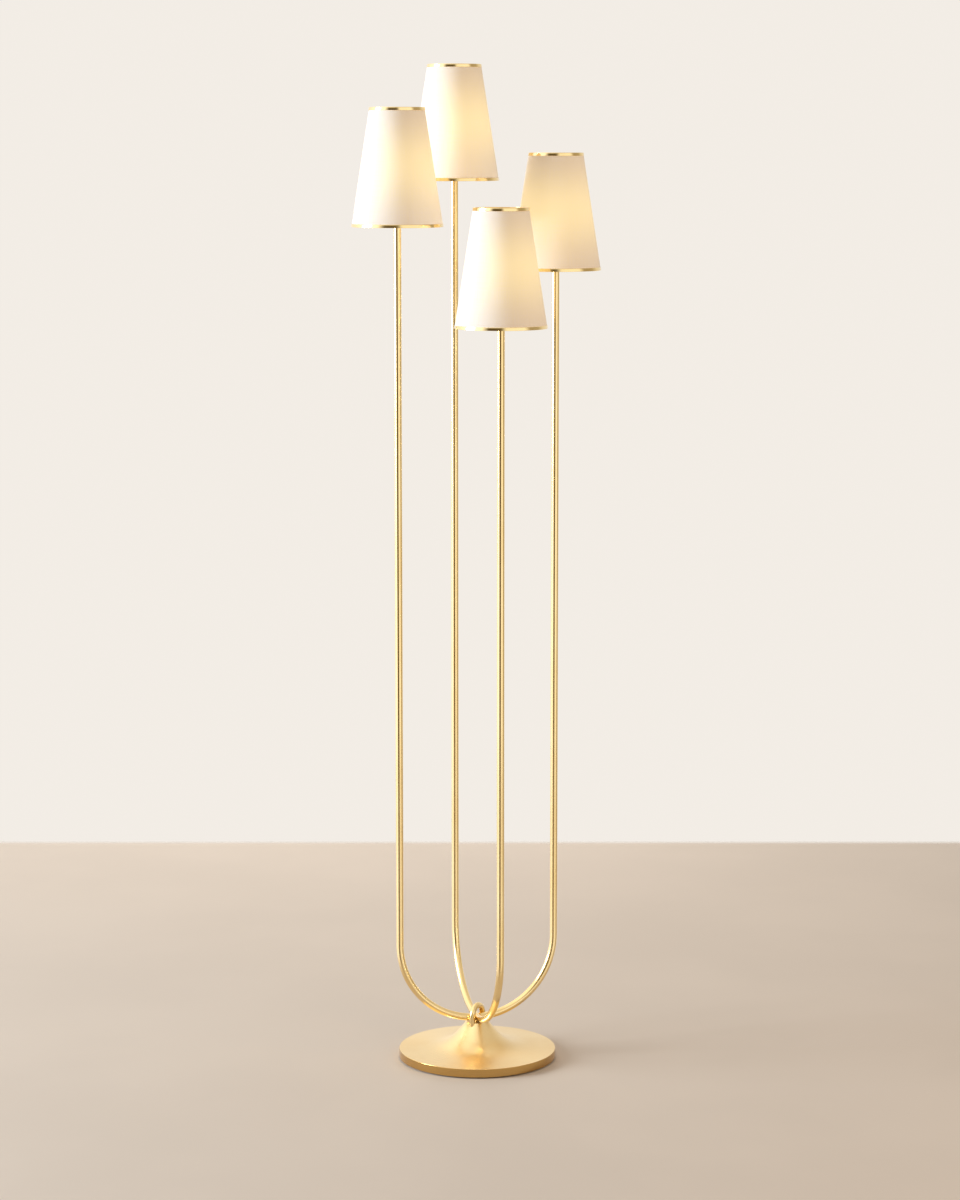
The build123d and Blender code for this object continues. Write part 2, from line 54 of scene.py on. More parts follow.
scene = bpy.context.scene
ahead = Vector((-math.sin(VIEW_TURN), math.cos(VIEW_TURN), 0.0))
rightwards = Vector((math.cos(VIEW_TURN), math.sin(VIEW_TURN), 0.0))
upwards = Vector((0.0, 0.0, 1.0))

lens = bpy.data.cameras.new("camera")
lens.sensor_width = SENSOR_MM
lens.lens = SENSOR_MM * FOCAL_PX / IMAGE_HEIGHT_PX
camera = bpy.data.objects.new("camera", lens)
camera.location = ahead * -VIEW_DISTANCE + rightwards * VIEW_SIDE + upwards * VIEW_HEIGHT
look = ahead * math.cos(VIEW_PITCH) - upwards * math.sin(VIEW_PITCH)
camera.rotation_mode = "QUATERNION"
camera.rotation_quaternion = look.to_track_quat("-Z", "Y")
scene.collection.objects.link(camera)
scene.camera = camera

# ---- Studio ----------------------------------------------------------------------------------
# A pale plain floor that ends behind the lamp at a cream backdrop, an even soft sky, a tall cool
# soft light from the left, a weak warm one from the right and one from behind. Metal mirrors a
# bright room that is dim only where the camera stands, and little of the floor past the base.

BACKDROP = (0.893, 0.846, 0.787)
ROOM_BY_BEARING = (
    (-180, (0.95, 0.91, 0.85)), (180, (0.95, 0.91, 0.85)), (-140, (1.15, 1.12, 1.10)),
    (-95, (1.55, 1.58, 1.75)), (-50, (1.55, 1.58, 1.70)), (-32, (0.09, 0.06, 0.02)),
    (1, (0.13, 0.095, 0.04)), (13, (1.20, 1.18, 1.15)), (62, (1.22, 1.20, 1.17)),
    (76, (0.46, 0.38, 0.27)), (104, (0.50, 0.43, 0.32)), (125, (0.85, 0.80, 0.72)))
CEILING_LEFT = (1.45, 1.40, 1.30)
CEILING_RIGHT = (0.78, 0.71, 0.62)
CEILING_SIDES = (-0.40, 0.35)
CEILING_RISE = (0.27, 0.65)
SKY_LOW = (0.205, 0.195, 0.180)
SKY_HIGH = (0.50, 0.485, 0.465)
SKY_RISE = (-0.1, 0.9)
SKY_LEFT = 0.65
SKY_SIDES = (-0.8, 0.8)
FLOOR_COLOUR = (0.790, 0.664, 0.550)
FLOOR_MOTTLE = 0.97
FLOOR_BEHIND = (1.565, 1.605)
FLOOR_FADE = (1.95, 2.75)
FLOOR_MIRRORED = (0.25, 0.60)
FLOOR_CLEAR = 0.70
FLOOR_RINGS = 25
FLOOR_SIDES = 96
LAMPS = {
    "key": (rightwards * -5.0 - ahead * 0.85 + upwards * 2.05, (1.9, 2.8), 320.0,
            (0.78, 0.89, 1.0)),
    "fill": (rightwards * 2.1 - ahead * 1.5 + upwards * 1.6, (0.9, 1.5), 14.5, (1.0, 0.74, 0.44)),
    "back": (rightwards * -0.3 + ahead * 3.0 + upwards * 1.5, (1.6, 1.6), 37.0, (1.0, 0.97, 0.92))}
MM = 1000.0
CREASE = math.radians(38.0)
MERGE_DISTANCE = 1e-6

scene.view_settings.view_transform = "Standard"


class Nodes:
    """A short way to write a node tree. Each call adds a node, fills its sockets and returns it or
    its output."""

    def __init__(self, tree):
        self.tree = tree

    def add(self, kind, values=None, **settings):
        """Adds a node. A value that is a node or a socket is linked, and any other is set."""
        node = self.tree.nodes.new(kind)
        for key, value in settings.items():
            setattr(node, key, value)
        for key, value in (values or {}).items():
            self.put(node.inputs[key], value)
        return node

    def put(self, socket, value):
        """Fills one socket. A node stands for its first output."""
        if isinstance(value, bpy.types.Node):
            value = next(s for s in value.outputs if s.enabled)
        if isinstance(value, bpy.types.NodeSocket):
            self.tree.links.new(value, socket)
        else:
            socket.default_value = value

    def maths(self, operation, *values):
        """One arithmetic step on numbers."""
        return self.add("ShaderNodeMath", dict(enumerate(values)), operation=operation)

    def vector(self, operation, *values):
        """One arithmetic step on vectors."""
        return self.add("ShaderNodeVectorMath", dict(enumerate(values)), operation=operation)

    def between(self, factor, first, second):
        """The colour that lies between two others."""
        node = self.add("ShaderNodeMix", data_type="RGBA")
        self.put(node.inputs["Factor"], factor)
        for name, colour in (("A", first), ("B", second)):
            socket = next(s for s in node.inputs if s.name == name and s.type == "RGBA")
            self.put(socket, (*colour, 1.0) if isinstance(colour, tuple) else colour)
        return next(s for s in node.outputs if s.type == "RGBA")

    def span(self, value, low, high, to_low=0.0, to_high=1.0, smooth=True):
        """A number carried from one range to another, with soft ends."""
        kind = "SMOOTHSTEP" if smooth else "LINEAR"
        values = {"Value": value, "From Min": low, "From Max": high,
                  "To Min": to_low, "To Max": to_high}
        return self.add("ShaderNodeMapRange", values, interpolation_type=kind).outputs["Result"]

    def place(self, kind="Object"):
        """Where a point of the surface lies, in the object's own frame or on its UV map."""
        return self.add("ShaderNodeTexCoord").outputs[kind]

    def noise(self, vector, scale, detail, roughness=0.5):
        """Cloudy noise along a vector. Its first output runs from nought to one."""
        values = {"Vector": vector, "Scale": scale, "Detail": detail, "Roughness": roughness}
        return self.add("ShaderNodeTexNoise", values)

    def bump(self, shader, height, strength, distance):
        """Texture too fine to model, as a bump on the shader."""
        values = {"Height": height, "Strength": strength, "Distance": distance}
        self.put(shader.inputs["Normal"], self.add("ShaderNodeBump", values))


world = bpy.data.worlds.new("studio")
world.use_nodes = True
world.node_tree.nodes.clear()
scene.world = world
sky = Nodes(world.node_tree)
direction = sky.place("Generated")
height = sky.add("ShaderNodeSeparateXYZ", {"Vector": direction}).outputs["Z"]
to_room = sky.vector("DOT_PRODUCT", direction, tuple(-ahead)).outputs["Value"]
to_right = sky.vector("DOT_PRODUCT", direction, tuple(rightwards)).outputs["Value"]
bearing = sky.maths("MULTIPLY_ADD", sky.maths("ARCTAN2", to_right, to_room), 0.5 / math.pi, 0.5)
room = sky.add("ShaderNodeValToRGB", {"Fac": bearing})
stops = room.color_ramp.elements
for number, (degrees, colour) in enumerate(ROOM_BY_BEARING):
    stop = stops[number] if number < 2 else stops.new(degrees / 360.0 + 0.5)
    stop.color = (*colour, 1.0)
lit_colour = sky.vector("SCALE", sky.between(sky.span(height, *SKY_RISE), SKY_LOW, SKY_HIGH))
sky.put(lit_colour.inputs["Scale"], sky.span(to_right, *SKY_SIDES, SKY_LEFT, 1.0))
ceiling = sky.between(sky.span(to_right, *CEILING_SIDES), CEILING_LEFT, CEILING_RIGHT)
mirrored_colour = sky.between(sky.span(height, *CEILING_RISE), room.outputs["Color"], ceiling)
path = sky.add("ShaderNodeLightPath")
mirrored = sky.maths("MAXIMUM", path.outputs["Is Glossy Ray"], path.outputs["Is Transmission Ray"])
not_seen = sky.between(mirrored, lit_colour, mirrored_colour)
seen = sky.between(path.outputs["Is Camera Ray"], not_seen, BACKDROP)
light_of_sky = sky.add("ShaderNodeBackground", {"Color": seen, "Strength": 1.0})
sky.add("ShaderNodeOutputWorld", {"Surface": light_of_sky})

for name, (place, size, power, colour) in LAMPS.items():
    lamp = bpy.data.lights.new(name, "AREA")
    lamp.shape = "RECTANGLE"
    lamp.size, lamp.size_y = size
    lamp.energy = power
    lamp.color = colour
    holder = bpy.data.objects.new(name, lamp)
    holder.location = place
    holder.rotation_mode = "QUATERNION"
    holder.rotation_quaternion = Vector((-place.x, -place.y, 0.0)).to_track_quat("-Z", "Y")
    holder.visible_camera = False
    holder.visible_glossy = name == "key"
    scene.collection.objects.link(holder)


def skin(name, points, around, along):
    """A mesh from a grid of points, rows x columns x 3, in millimetres. Row r and column c are
    joined to their next neighbours by four-sided faces, points that fall together are merged, so
    a grid that comes back to its start closes, and a row of one point becomes a pole. The UV map
    holds around for each column and along for each row, both in millimetres."""
    rows, columns = grid = points.shape[:2]
    index = np.arange(rows * columns).reshape(grid)
    corners = np.stack([index[:-1, :-1], index[:-1, 1:], index[1:, 1:], index[1:, :-1]], axis=-1)
    corners = corners.reshape(-1, 4)
    mesh = bpy.data.meshes.new(name)
    mesh.from_pydata((points.reshape(-1, 3) / MM).tolist(), [], corners.tolist())
    uv = np.stack([np.broadcast_to(around, grid), np.broadcast_to(along[:, None], grid)], -1)
    uv = uv.reshape(-1, 2)[corners.ravel()].astype(np.float32)
    mesh.uv_layers.new(name="UVMap").data.foreach_set("uv", uv.ravel())
    shell = bmesh.new()
    shell.from_mesh(mesh)
    bmesh.ops.remove_doubles(shell, verts=shell.verts, dist=MERGE_DISTANCE)
    bmesh.ops.recalc_face_normals(shell, faces=shell.faces)
    shell.to_mesh(mesh)
    shell.free()
    mesh.shade_smooth()
    mesh.set_sharp_from_angle(angle=CREASE)
    piece = bpy.data.objects.new(name, mesh)
    scene.collection.objects.link(piece)
    return piece


def material(name, colour, roughness, metallic=0.0, **plain):
    """A node material whose plain values sit on the shader's own sockets. Returns it, its node
    tree helper and its shader."""
    made = bpy.data.materials.new(name)
    made.use_nodes = True
    shader = made.node_tree.nodes["Principled BSDF"]
    values = {"Base Color": (*colour, 1.0), "Roughness": roughness, "Metallic": metallic, **plain}
    nodes = Nodes(made.node_tree)
    for socket_name, value in values.items():
        nodes.put(shader.inputs[socket_name], value)
    return made, nodes, shader


floor_rings = np.linspace(0.0, MM * FLOOR_FADE[1], FLOOR_RINGS)
floor_turns = np.linspace(0.0, 2 * math.pi, FLOOR_SIDES + 1)
floor_points = np.stack([floor_rings[:, None] * np.cos(floor_turns),
                         floor_rings[:, None] * np.sin(floor_turns),
                         np.zeros((FLOOR_RINGS, FLOOR_SIDES + 1))], axis=-1)
floor = skin("floor", floor_points, floor_turns, floor_rings)
if floor.data.polygons[0].normal.z < 0.0:
    floor.data.flip_normals()
floor_finish, nodes, shader = material("floor_paint", FLOOR_COLOUR, 0.85,
                                       **{"Specular IOR Level": 0.15})
place = nodes.place()
mottle = nodes.span(nodes.noise(place, 2.2, 3.0), 0.35, 0.65)
mottled = nodes.between(mottle, tuple(FLOOR_MOTTLE * c for c in FLOOR_COLOUR), FLOOR_COLOUR)
nodes.put(shader.inputs["Base Color"], mottled)
from_middle = nodes.vector("LENGTH", place).outputs["Value"]
backwards = nodes.vector("DOT_PRODUCT", place, tuple(ahead)).outputs["Value"]
beyond_base = nodes.span(from_middle, *FLOOR_MIRRORED, 0.0, FLOOR_CLEAR)
glossy = nodes.add("ShaderNodeLightPath").outputs["Is Glossy Ray"]
in_mirror = nodes.maths("MULTIPLY", glossy, beyond_base)
out_of_view = nodes.maths("MAXIMUM", nodes.span(backwards, *FLOOR_BEHIND),
                          nodes.span(from_middle, *FLOOR_FADE))
faded = nodes.maths("MAXIMUM", out_of_view, in_mirror)
clear = nodes.add("ShaderNodeBsdfTransparent")
both = nodes.add("ShaderNodeMixShader", {"Fac": faded, 1: shader, 2: clear})
nodes.put(floor_finish.node_tree.nodes["Material Output"].inputs["Surface"], both)
floor.data.materials.append(floor_finish)

# ---- Felt pad --------------------------------------------------------------------------------
# A disc of pressed dark felt under the base that keeps the metal off the floor. It is punched
# from sheet and glued on, a little inside the base's edge.

PAD_RADIUS = 118.0
PAD_THICKNESS = 2.5
PAD_EASE = 0.6
CORNER_STEPS = 5


def eased(corners, radius, closed=False):
    """A profile with its corners rounded. Each corner C becomes the curve (1-t)^2 A + 2t(1-t) C +
    t^2 B, where A and B lie on its two sides at the corner's radius, or at under half of a
    shorter side. A closed profile ends on its first point."""
    corners = np.asarray(corners, float)
    reach = np.broadcast_to(np.asarray(radius, float), (len(corners),))
    before = np.roll(corners, 1, axis=0) - corners
    after = np.roll(corners, -1, axis=0) - corners
    sides = [np.linalg.norm(side, axis=1, keepdims=True) for side in (before, after)]
    cuts = [np.minimum(reach[:, None], 0.48 * side) for side in sides]
    starts = (corners + before / sides[0] * cuts[0])[:, None]
    ends = (corners + after / sides[1] * cuts[1])[:, None]
    t = np.linspace(0.0, 1.0, CORNER_STEPS)[None, :, None]
    curve = (1 - t) ** 2 * starts + 2 * t * (1 - t) * corners[:, None] + t ** 2 * ends
    if closed:
        line = curve.reshape(-1, 2)
        return np.vstack([line, line[:1]])
    return np.vstack([corners[:1], curve[1:-1].reshape(-1, 2), corners[-1:]])


def arc_length(line):
    """The distance along a line of points, from its start to each point."""
    return np.concatenate([[0.0], np.cumsum(np.linalg.norm(np.diff(line, axis=0), axis=1))])


def turned(name, profile, centre=(0.0, 0.0), steps=96, relief=None):
    """A surface of revolution. A profile point (radius, height) goes to centre + radius (cos a,
    sin a) at its height, for angles a all round. relief(angle, radius, height) is taken off the
    radius."""
    profile = np.asarray(profile, float)
    angle = np.linspace(0.0, 2 * math.pi, steps + 1)
    radius = np.repeat(profile[:, :1], steps + 1, axis=1)
    height = np.repeat(profile[:, 1:], steps + 1, axis=1)
    if relief is not None:
        radius = radius - relief(angle[None, :], radius, height)
        radius[:, -1] = radius[:, 0]
    points = np.stack([centre[0] + radius * np.cos(angle), centre[1] + radius * np.sin(angle),
                       height], -1)
    return skin(name, points, angle * profile[:, 0].max(), arc_length(profile))


def finished(piece, finish, body, slot, *replaced):
    """Gives a piece its material and the body it rides on, and hides the CAD nodes it stands
    for. Its slot is not used."""
    piece.data.materials.append(finish)
    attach(piece, body)
    if replaced:
        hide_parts(*replaced)
    return piece


felt, nodes, shader = material("pressed_felt", (0.030, 0.027, 0.024), 0.95,
                               **{"Sheen Weight": 0.35, "Sheen Roughness": 0.6})
place = nodes.place()
clumps = nodes.noise(place, 60.0, 3.0)
nodes.put(shader.inputs["Base Color"],
          nodes.between(clumps, (0.020, 0.018, 0.016), (0.045, 0.040, 0.035)))
nodes.bump(shader, nodes.noise(place, 900.0, 5.0, 0.7), 0.6, 0.0004)
pad_edge = eased([(0.0, 0.0), (PAD_RADIUS, 0.0), (PAD_RADIUS, PAD_THICKNESS),
                  (0.0, PAD_THICKNESS)], PAD_EASE)
pad = finished(turned("felt_pad_disc", pad_edge, steps=128), felt, "stand", "felt", "felt_pad")

# ---- Bottom plate, its screws, the weight and the wiring parts ---------------------------------
# A zinc-plated steel plate closes the base, and four countersunk screws hold it to a cast-iron
# weight. A hollow threaded rod with a nut and a washer clamps the stack, and a small terminal
# block joins the wires. All of it sits out of sight under the cover.


def dress(finish, *names):
    """Gives CAD nodes whose shape is right a better material."""
    for name in names:
        for place_of_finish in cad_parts[name].material_slots:
            place_of_finish.material = finish


zinc, nodes, shader = material("zinc_plate", (0.56, 0.57, 0.58), 0.38, 1.0)
place = nodes.place()
spangle = nodes.add("ShaderNodeTexVoronoi", {"Vector": place, "Scale": 140.0}, feature="F1")
bloom = nodes.noise(place, 35.0, 4.0)
nodes.put(shader.inputs["Base Color"],
          nodes.between(bloom, (0.50, 0.50, 0.50), (0.62, 0.63, 0.65)))
nodes.put(shader.inputs["Roughness"],
          nodes.span(spangle.outputs["Distance"], 0.0, 0.8, 0.30, 0.46))
dress(zinc, "bottom_plate", "plate_screws", "threaded_rod", "rod_nut", "rod_washer")

iron, nodes, shader = material("cast_iron", (0.022, 0.022, 0.024), 0.70)
place = nodes.place()
grain = nodes.noise(place, 420.0, 6.0, 0.65)
patches = nodes.noise(place, 40.0, 3.0)
nodes.put(shader.inputs["Base Color"],
          nodes.between(patches, (0.016, 0.016, 0.018), (0.034, 0.032, 0.031)))
nodes.put(shader.inputs["Roughness"], nodes.span(grain, 0.3, 0.7, 0.58, 0.82))
nodes.bump(shader, grain, 0.5, 0.0004)
dress(iron, "base_weight")


def moulded(name, colour, roughness, amount=0.05):
    """A moulded plastic: a faint cloudiness in its colour and a fine satin texture from the
    mould."""
    made, nodes, shader = material(name, colour, roughness)
    place = nodes.place()
    cloud = nodes.noise(place, 55.0, 3.0)
    darker = tuple(c * (1 - amount) for c in colour)
    nodes.put(shader.inputs["Base Color"], nodes.between(cloud, darker, colour))
    nodes.put(shader.inputs["Roughness"],
              nodes.span(cloud, 0.3, 0.7, roughness - 0.05, roughness + 0.05))
    nodes.bump(shader, nodes.noise(place, 2600.0, 2.0), 0.12, 0.0001)
    return made


dress(moulded("terminal_plastic", (0.71, 0.70, 0.61), 0.42), "terminal_block")
dress(moulded("wire_insulation", (0.60, 0.52, 0.30), 0.45), "arm_wires")

# ---- Base cover and neck -----------------------------------------------------------------------
# The cover is a brass disc spun over a form, so that it sweeps up to the middle, and the neck on
# top of it is turned from bar. Both are brushed round and round on the lathe, then lacquered.

TURNED_BRASS = ((0.925, 0.710, 0.370), (0.870, 0.640, 0.310))
EDGE_RADIUS = 0.1275
EDGE_POLISH = 0.32
EDGE_PAINTED_SHADE = (0.600, 0.375, 0.125)
COAT = 0.35
GROOVE_DEPTH = 0.00001


def brass(name, colours, roughness, spread, brushing, strength=0.25, anisotropic=0.0, lacquer=0.10):
    """Lacquered brass. brushing(nodes) gives the vector along whose first axis the fine lines
    repeat; they vary the roughness and the bump, and a slow noise varies the colour, as lacquer
    and handling do."""
    made, nodes, shader = material(name, colours[0], roughness, 1.0,
                                   **{"Anisotropic": anisotropic, "Coat Weight": COAT,
                                      "Coat Roughness": lacquer})
    lines = nodes.noise(brushing(nodes), 1.0, 3.0, 0.6)
    hazy = nodes.span(nodes.noise(nodes.place(), 9.0, 4.0, 0.55), 0.35, 0.70)
    toned = nodes.between(hazy, colours[0], colours[1])
    streaked = nodes.between(nodes.span(lines, 0.25, 0.75, 0.0, 0.22), toned, colours[1])
    nodes.put(shader.inputs["Base Color"], streaked)
    rough_lines = nodes.span(lines, 0.2, 0.8, roughness - spread, roughness + spread)
    nodes.put(shader.inputs["Roughness"], nodes.maths("MULTIPLY_ADD", hazy, 0.05, rough_lines))
    nodes.bump(shader, lines, strength, GROOVE_DEPTH)
    return made, nodes, shader


def round_and_round(nodes):
    """Lines that circle the lamp's own axis. Radius minus height grows steadily from neck to
    edge, on the steep neck and on the flat disc alike, so noise along it makes circles
    everywhere."""
    split = nodes.add("ShaderNodeSeparateXYZ", {"Vector": nodes.place()})
    flat = nodes.add("ShaderNodeCombineXYZ", {"X": split.outputs["X"], "Y": split.outputs["Y"]})
    radius = nodes.vector("LENGTH", flat).outputs["Value"]
    along = nodes.maths("SUBTRACT", radius, split.outputs["Z"])
    angle = nodes.maths("ARCTAN2", split.outputs["Y"], split.outputs["X"])
    turn_x = nodes.maths("MULTIPLY", nodes.maths("COSINE", angle), 2.0)
    turn_y = nodes.maths("MULTIPLY", nodes.maths("SINE", angle), 2.0)
    return nodes.add("ShaderNodeCombineXYZ", {"X": nodes.maths("MULTIPLY", along, 2600.0),
                                              "Y": turn_x, "Z": turn_y})


turned_brass, nodes, shader = brass("turned_brass", TURNED_BRASS, 0.30, 0.05, round_and_round,
                                    anisotropic=0.55, lacquer=0.30)
nodes.put(shader.inputs["Tangent"],
          nodes.add("ShaderNodeTangent", direction_type="RADIAL", axis="Z"))
flat = nodes.vector("MULTIPLY", nodes.place(), (1.0, 1.0, 0.0))
radius = nodes.vector("LENGTH", flat).outputs["Value"]
# On the outer edge wall the brass is polished smoother and its colour turns a darker brown: a
# painted reflection of the shadowed floor beside the base.
on_edge = nodes.span(radius, EDGE_RADIUS - 0.0010, EDGE_RADIUS - 0.0001)
brushed = shader.inputs["Roughness"].links[0].from_socket
polished = nodes.span(on_edge, 0.0, 1.0, 1.0, EDGE_POLISH, smooth=False)
nodes.put(shader.inputs["Roughness"], nodes.maths("MULTIPLY", brushed, polished))
toned = shader.inputs["Base Color"].links[0].from_socket
nodes.put(shader.inputs["Base Color"], nodes.between(on_edge, toned, EDGE_PAINTED_SHADE))
dress(turned_brass, "base_cover", "base_neck")

# ---- Cord inlet --------------------------------------------------------------------------------
# A black moulded bushing pressed into the rear of the base, with a small round-edged flange
# outside. The cord would enter here.

INLET_HEIGHT = 9.1
INLET_FACE = 127.5
INLET_PROFILE = [(3.2, -8.5), (4.7, -8.5), (4.7, 0.0), (6.0, 0.0), (6.0, 1.5), (3.2, 1.5)]
INLET_EASE = [0.4, 0.3, 0.1, 0.15, 0.7, 0.8]

bushing = turned("inlet_bushing", eased(INLET_PROFILE, INLET_EASE, closed=True), steps=64)
points = np.empty(len(bushing.data.vertices) * 3)
bushing.data.vertices.foreach_get("co", points)
x, y, z = points.reshape(-1, 3).T
points = np.stack([-x, z + INLET_FACE / MM, y + INLET_HEIGHT / MM], axis=-1)
bushing.data.vertices.foreach_set("co", points.ravel())
black_plastic = moulded("black_plastic", (0.012, 0.012, 0.013), 0.40)
finished(bushing, black_plastic, "stand", "black_plastic", "cord_inlet")

# ---- Hub and arch ------------------------------------------------------------------------------
# The four tubes plug onto a cast brass cross that stands on the neck. A bent brass rod straddles
# it with both legs set in the neck. Both pieces are polished and lacquered.

CAST_BRASS = ((0.930, 0.720, 0.360), (0.860, 0.620, 0.270))


def polishing(nodes):
    """Fine lines left by a polishing wheel, along no one direction for long."""
    place = nodes.place()
    drift = nodes.noise(place, 60.0, 1.0).outputs["Color"]
    bent = nodes.vector("MULTIPLY_ADD", drift, (0.02, 0.02, 0.02), place)
    return nodes.vector("MULTIPLY", bent, (2200.0, 700.0, 160.0))


cast_brass = brass("polished_cast_brass", CAST_BRASS, 0.17, 0.03, polishing, strength=0.12)[0]
dress(cast_brass, "cross_hub", "binding_arch")

# ---- Uprights ----------------------------------------------------------------------------------
# Four brass tubes of 12 mm. Each comes off the hub, sweeps up in a quarter bend and stands
# straight to its lampholder. They are drawn, so their fine lines run lengthwise.

ARM_RADIUS = 130.0
TUBE_RADIUS = 6.0
TUBE_BORE = 5.0
BEND_TOP = 196.5
BEND_ROWS = 72
STRAIGHT_ROWS = 60
HUB_STUB_ANGLE = math.asin(8.0 / ARM_RADIUS)
SHADE_HEIGHT = 185.0
TUBE_REACH = 6.0
TUBE_BRASS = ((0.930, 0.720, 0.370), (0.870, 0.640, 0.290))
ARM_ANGLE = {"right": 0.0, "rear": math.pi / 2, "left": math.pi, "front": 1.5 * math.pi}
RIM_HEIGHT = {"right": 1463.0, "rear": 1603.0, "left": 1533.0, "front": 1380.0}
SHADE_BOTTOM = {arm: rim - SHADE_HEIGHT for arm, rim in RIM_HEIGHT.items()}
CENTRE = {arm: (ARM_RADIUS * math.cos(angle), ARM_RADIUS * math.sin(angle))
          for arm, angle in ARM_ANGLE.items()}
UP = np.array([0.0, 0.0, 1.0])


def drawn(name, line, across, radii, bore=0.0, sides=32):
    """A round bar along a line that lies in one plane. At each point of the line stands a ring,
    centre + radius (cos a side + sin a across), where across is the plane's normal and side is
    square to it and to the line. A radius of nought closes an end. With a bore the bar is a tube:
    the same rings come back at the bore's radius and end on the first one, which closes the
    wall."""
    line = np.asarray(line, float)
    ahead_of = np.gradient(line, axis=0)
    ahead_of[0], ahead_of[-1] = line[2] - line[1], line[-2] - line[-3]
    ahead_of /= np.linalg.norm(ahead_of, axis=1, keepdims=True)
    across = np.asarray(across, float)
    side = np.cross(ahead_of, across)
    angle = np.linspace(0.0, 2 * math.pi, sides + 1)
    ring = np.cos(angle)[None, :, None] * side[:, None] + np.sin(angle)[None, :, None] * across
    radii = np.broadcast_to(np.asarray(radii, float), (len(line),))
    points = line[:, None] + radii[:, None, None] * ring
    along = arc_length(line)
    if bore:
        back = line[::-1, None] + bore * ring[::-1]
        points = np.concatenate([points, back, points[:1]])
        along = np.concatenate([along, along[::-1], along[:1]])
    return skin(name, points, angle * radii.max(), along)


def lengthwise(nodes):
    """Lines along a drawn tube: noise that changes fast round the tube and slowly along it."""
    return nodes.vector("MULTIPLY", nodes.place("UV"), (5.0, 0.006, 1.0))


tube_brass = brass("drawn_brass", TUBE_BRASS, 0.15, 0.03, lengthwise, strength=0.05)[0]

for arm, angle in ARM_ANGLE.items():
    outwards = np.array([math.cos(angle), math.sin(angle), 0.0])
    across = np.array([-math.sin(angle), math.cos(angle), 0.0])
    tube_top = SHADE_BOTTOM[arm] + TUBE_REACH
    bend = np.linspace(HUB_STUB_ANGLE, math.pi / 2, BEND_ROWS)
    straight = np.linspace(BEND_TOP, tube_top, STRAIGHT_ROWS + 1)[1:]
    reach = np.concatenate([ARM_RADIUS * np.sin(bend), np.full(STRAIGHT_ROWS, ARM_RADIUS)])
    level = np.concatenate([BEND_TOP - ARM_RADIUS * np.cos(bend), straight])
    middle = reach[:, None] * outwards + level[:, None] * UP
    tube = drawn(f"{arm}_upright", middle, across, TUBE_RADIUS, bore=TUBE_BORE, sides=40)
    finished(tube, tube_brass, "stand", "satin_brass", f"{arm}_arm_tube")

# ---- Cups --------------------------------------------------------------------------------------
# A turned brass cup plugs into the top of each tube and carries the lampholder.
# Its bowl flares from the tube to the lampholder's width.

CUP_FOOT = 5.99
CUP_RADIUS = 18.0
CUP_BOWL = 6.0
CUP_HEIGHT = 8.0
CUP_EASE = 0.5
CUP_BORE = 4.0
PLUG_RADIUS = 4.95
PLUG_LENGTH = 15.0


def bezier(points, steps):
    """A cubic curve with four control points: (1-t)^3 P0 + 3t(1-t)^2 P1 + 3t^2(1-t) P2 + t^3
    P3."""
    t = np.linspace(0.0, 1.0, steps)[:, None]
    p = np.asarray(points, float)
    return ((1 - t) ** 3 * p[0] + 3 * t * (1 - t) ** 2 * p[1] + 3 * t ** 2 * (1 - t) * p[2]
            + t ** 3 * p[3])


for arm, bottom in SHADE_BOTTOM.items():
    foot = bottom + TUBE_REACH
    top = foot + CUP_HEIGHT
    bowl = bezier([(CUP_FOOT, foot), (TUBE_RADIUS, foot + CUP_BOWL), (CUP_RADIUS, foot),
                   (CUP_RADIUS, foot + CUP_BOWL)], 20)
    lip = eased([bowl[-2], (CUP_RADIUS, top), (CUP_BORE, top), (CUP_BORE, top - 1.0)], CUP_EASE)
    plug = [(CUP_BORE, foot - PLUG_LENGTH), (PLUG_RADIUS, foot - PLUG_LENGTH),
            (PLUG_RADIUS, foot), bowl[0]]
    cup = turned(f"{arm}_cup", np.vstack([bowl[:-1], lip[1:-1], plug]), CENTRE[arm], 72)
    finished(cup, tube_brass, "stand", "satin_brass", f"{arm}_socket_cup")

# ---- Lampholders -------------------------------------------------------------------------------
# An off-white moulded lampholder stands in each cup. The shade's washer rests on its shoulder,
# and its skirt carries a coarse thread for the clamping ring. Inside is a brass screw shell.

HOLDER_FOOT = 14.0
HOLDER_RADIUS = 17.0
FLANGE_RADIUS = 22.5
FLANGE_FOOT = 10.0
SHOULDER = 13.0
SKIRT_RADIUS = 19.75
SKIRT_LENGTH = 27.0
SKIRT_PITCH = 3.0
SKIRT_THREAD = 0.45
SKIRT_ROWS = 120
MOUTH_RADIUS = 14.35
WIRE_HOLE = 4.0
SHELL_BRASS = ((0.62, 0.40, 0.14), (0.50, 0.31, 0.10))
holder_plastic = moulded("lampholder_plastic", (0.80, 0.77, 0.69), 0.32, 0.03)


def wall(radius, low, high, rows):
    """The profile of a plain cylinder, with rows close enough together to carry a thread."""
    return np.stack([np.full(rows, radius), np.linspace(low, high, rows)], -1)


def thread(start, end, pitch, depth, crest):
    """A screw thread as relief on a turned piece. Its depth follows half a cosine of height over
    pitch less the turn, and it fades out over half a pitch at both ends. Only radii near the
    crest are cut."""

    def relief(angle, radius, height):
        wave = 0.5 - 0.5 * np.cos(2 * math.pi * ((height - start) / pitch - angle / (2 * math.pi)))
        fade = np.clip(np.minimum(height - start, end - height) / (0.5 * pitch), 0.0, 1.0)
        return depth * wave * fade * (np.abs(radius - crest) < 0.01)

    return relief


